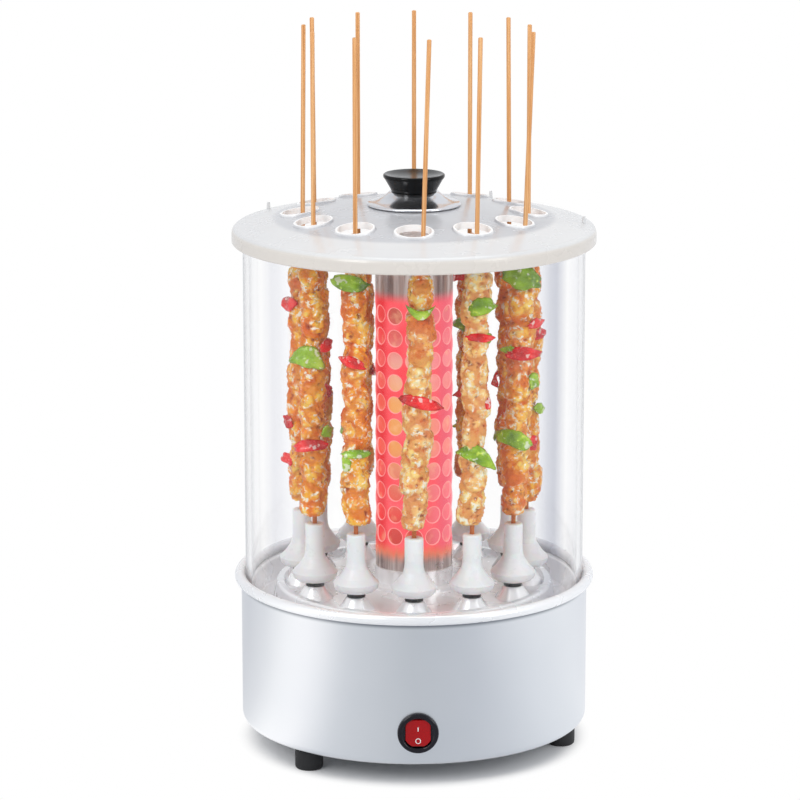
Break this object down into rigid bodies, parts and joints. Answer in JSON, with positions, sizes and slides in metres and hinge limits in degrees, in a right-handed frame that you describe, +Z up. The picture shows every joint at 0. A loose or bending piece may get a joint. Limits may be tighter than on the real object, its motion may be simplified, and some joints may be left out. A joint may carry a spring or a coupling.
{
  "type": "electric skewer grill",
  "caption": "Upright electric skewer grill: geared cups turn skewers round a heater in a perforated guard, under a glass cylinder with a domed lid on a drum base.",
  "frame": {"origin": "centre of the plane that the three feet rest on, on the drum's axis", "axes": "+Z up along the drum's axis, -Y towards the switch at the front"},
  "size_m": [0.2076, 0.2076, 0.4161],
  "materials": {
    "drum_steel": "satin silver sheet metal",
    "plate_steel": "zinc-plated sheet",
    "deck_steel": "zinc-plated sheet",
    "motor_can": "plain steel can",
    "screw_steel": "zinc-plated",
    "tray_steel": "bright stamped stainless sheet",
    "guard_steel": "stainless sheet lit red by the heater",
    "ceramic": "unglazed",
    "quartz": "clear quartz",
    "heating_wire": "glowing resistance wire",
    "rubber": "black, matt",
    "switch_black": "black, fine grain",
    "switch_red": "red, translucent look, gloss",
    "glass": "clear borosilicate",
    "lid_white": "white, gloss",
    "chrome": "polished",
    "knob_black": "black, gloss",
    "gear_plastic": "natural acetal",
    "cup_white": "white, semi-gloss",
    "skewer_food": "glazed meat and pepper on bamboo"
  },
  "bodies": {
    "base": {"base_shell": "drum_steel", "bottom_plate": "plate_steel", "rubber_feet": "rubber", "base_screws": "screw_steel", "gear_deck": "deck_steel", "drive_motor": "motor_can", "centre_post": "plate_steel", "drip_tray": "tray_steel", "guard_collar": "tray_steel", "heater_guard": "guard_steel", "guard_cap": "guard_steel", "heater_socket": "ceramic", "quartz_sleeve": "quartz", "heating_coil": "heating_wire", "switch_body": "switch_black", "cord_bush": "rubber"},
    "glass": {"glass_cylinder": "glass"},
    "lid": {"lid_shell": "lid_white", "knob_dish": "chrome", "lid_knob": "knob_black", "knob_screw": "screw_steel"},
    "rocker": {"switch_rocker": "switch_red"},
    "sun": {"sun_gear": "gear_plastic"},
    "pinion": {"motor_pinion": "gear_plastic"},
    "spindle_01": {"spindle_01": "gear_plastic", "cup_01": "cup_white"},
    "skewer_01": {"skewer_01": "skewer_food"},
    "spindle_02": {"spindle_02": "gear_plastic", "cup_02": "cup_white"},
    "skewer_02": {"skewer_02": "skewer_food"},
    "spindle_03": {"spindle_03": "gear_plastic", "cup_03": "cup_white"},
    "skewer_03": {"skewer_03": "skewer_food"},
    "spindle_04": {"spindle_04": "gear_plastic", "cup_04": "cup_white"},
    "skewer_04": {"skewer_04": "skewer_food"},
    "spindle_05": {"spindle_05": "gear_plastic", "cup_05": "cup_white"},
    "skewer_05": {"skewer_05": "skewer_food"},
    "spindle_06": {"spindle_06": "gear_plastic", "cup_06": "cup_white"},
    "skewer_06": {"skewer_06": "skewer_food"},
    "spindle_07": {"spindle_07": "gear_plastic", "cup_07": "cup_white"},
    "skewer_07": {"skewer_07": "skewer_food"},
    "spindle_08": {"spindle_08": "gear_plastic", "cup_08": "cup_white"},
    "skewer_08": {"skewer_08": "skewer_food"},
    "spindle_09": {"spindle_09": "gear_plastic", "cup_09": "cup_white"},
    "skewer_09": {"skewer_09": "skewer_food"},
    "spindle_10": {"spindle_10": "gear_plastic", "cup_10": "cup_white"},
    "skewer_10": {"skewer_10": "skewer_food"},
    "spindle_11": {"spindle_11": "gear_plastic", "cup_11": "cup_white"},
    "skewer_11": {"skewer_11": "skewer_food"},
    "spindle_12": {"spindle_12": "gear_plastic", "cup_12": "cup_white"},
    "skewer_12": {"skewer_12": "skewer_food"}
  },
  "joints": [
    {"name": "glass_lift", "type": "slide", "parent": "base", "child": "glass", "axis": [0, 0, 1], "range_m": [0, 0.33]},
    {"name": "lid_lift", "type": "slide", "parent": "glass", "child": "lid", "axis": [0, 0, 1], "range_m": [0, 0.13]},
    {"name": "rocker_tilt", "type": "hinge", "parent": "base", "child": "rocker", "pos_m": [0.00224, -0.09847, 0.032], "axis": [0.9997, 0.0227, 0], "range_deg": [0, 17]},
    {"name": "sun_spin", "type": "hinge", "parent": "base", "child": "sun", "pos_m": [0, 0, 0.054], "axis": [0, 0, 1], "continuous": true},
    {"name": "pinion_spin", "type": "hinge", "parent": "base", "child": "pinion", "pos_m": [-0.0225, 0.03897, 0.05], "axis": [0, 0, 1], "continuous": true},
    {"name": "spindle_01_spin", "type": "hinge", "parent": "base", "child": "spindle_01", "pos_m": [0, -0.065, 0.06], "axis": [0, 0, 1], "continuous": true},
    {"name": "skewer_01_lift", "type": "slide", "parent": "spindle_01", "child": "skewer_01", "axis": [0, 0, 1], "range_m": [0, 0.2]},
    {"name": "spindle_02_spin", "type": "hinge", "parent": "base", "child": "spindle_02", "pos_m": [0.0325, -0.05629, 0.06], "axis": [0, 0, 1], "continuous": true},
    {"name": "skewer_02_lift", "type": "slide", "parent": "spindle_02", "child": "skewer_02", "axis": [0, 0, 1], "range_m": [0, 0.2]},
    {"name": "spindle_03_spin", "type": "hinge", "parent": "base", "child": "spindle_03", "pos_m": [0.05629, -0.0325, 0.06], "axis": [0, 0, 1], "continuous": true},
    {"name": "skewer_03_lift", "type": "slide", "parent": "spindle_03", "child": "skewer_03", "axis": [0, 0, 1], "range_m": [0, 0.2]},
    {"name": "spindle_04_spin", "type": "hinge", "parent": "base", "child": "spindle_04", "pos_m": [0.065, 0, 0.06], "axis": [0, 0, 1], "continuous": true},
    {"name": "skewer_04_lift", "type": "slide", "parent": "spindle_04", "child": "skewer_04", "axis": [0, 0, 1], "range_m": [0, 0.2]},
    {"name": "spindle_05_spin", "type": "hinge", "parent": "base", "child": "spindle_05", "pos_m": [0.05629, 0.0325, 0.06], "axis": [0, 0, 1], "continuous": true},
    {"name": "skewer_05_lift", "type": "slide", "parent": "spindle_05", "child": "skewer_05", "axis": [0, 0, 1], "range_m": [0, 0.2]},
    {"name": "spindle_06_spin", "type": "hinge", "parent": "base", "child": "spindle_06", "pos_m": [0.0325, 0.05629, 0.06], "axis": [0, 0, 1], "continuous": true},
    {"name": "skewer_06_lift", "type": "slide", "parent": "spindle_06", "child": "skewer_06", "axis": [0, 0, 1], "range_m": [0, 0.2]},
    {"name": "spindle_07_spin", "type": "hinge", "parent": "base", "child": "spindle_07", "pos_m": [0, 0.065, 0.06], "axis": [0, 0, 1], "continuous": true},
    {"name": "skewer_07_lift", "type": "slide", "parent": "spindle_07", "child": "skewer_07", "axis": [0, 0, 1], "range_m": [0, 0.2]},
    {"name": "spindle_08_spin", "type": "hinge", "parent": "base", "child": "spindle_08", "pos_m": [-0.0325, 0.05629, 0.06], "axis": [0, 0, 1], "continuous": true},
    {"name": "skewer_08_lift", "type": "slide", "parent": "spindle_08", "child": "skewer_08", "axis": [0, 0, 1], "range_m": [0, 0.2]},
    {"name": "spindle_09_spin", "type": "hinge", "parent": "base", "child": "spindle_09", "pos_m": [-0.05629, 0.0325, 0.06], "axis": [0, 0, 1], "continuous": true},
    {"name": "skewer_09_lift", "type": "slide", "parent": "spindle_09", "child": "skewer_09", "axis": [0, 0, 1], "range_m": [0, 0.2]},
    {"name": "spindle_10_spin", "type": "hinge", "parent": "base", "child": "spindle_10", "pos_m": [-0.065, 0, 0.06], "axis": [0, 0, 1], "continuous": true},
    {"name": "skewer_10_lift", "type": "slide", "parent": "spindle_10", "child": "skewer_10", "axis": [0, 0, 1], "range_m": [0, 0.2]},
    {"name": "spindle_11_spin", "type": "hinge", "parent": "base", "child": "spindle_11", "pos_m": [-0.05629, -0.0325, 0.06], "axis": [0, 0, 1], "continuous": true},
    {"name": "skewer_11_lift", "type": "slide", "parent": "spindle_11", "child": "skewer_11", "axis": [0, 0, 1], "range_m": [0, 0.2]},
    {"name": "spindle_12_spin", "type": "hinge", "parent": "base", "child": "spindle_12", "pos_m": [-0.0325, -0.05629, 0.06], "axis": [0, 0, 1], "continuous": true},
    {"name": "skewer_12_lift", "type": "slide", "parent": "spindle_12", "child": "skewer_12", "axis": [0, 0, 1], "range_m": [0, 0.2]}
  ],
  "couplings": [
    {"joint": "pinion_spin", "follows": "sun_spin", "ratio": -5},
    {"joint": "spindle_01_spin", "follows": "sun_spin", "ratio": -4.2},
    {"joint": "spindle_02_spin", "follows": "sun_spin", "ratio": -4.2},
    {"joint": "spindle_03_spin", "follows": "sun_spin", "ratio": -4.2},
    {"joint": "spindle_04_spin", "follows": "sun_spin", "ratio": -4.2},
    {"joint": "spindle_05_spin", "follows": "sun_spin", "ratio": -4.2},
    {"joint": "spindle_06_spin", "follows": "sun_spin", "ratio": -4.2},
    {"joint": "spindle_07_spin", "follows": "sun_spin", "ratio": -4.2},
    {"joint": "spindle_08_spin", "follows": "sun_spin", "ratio": -4.2},
    {"joint": "spindle_09_spin", "follows": "sun_spin", "ratio": -4.2},
    {"joint": "spindle_10_spin", "follows": "sun_spin", "ratio": -4.2},
    {"joint": "spindle_11_spin", "follows": "sun_spin", "ratio": -4.2},
    {"joint": "spindle_12_spin", "follows": "sun_spin", "ratio": -4.2}
  ]
}
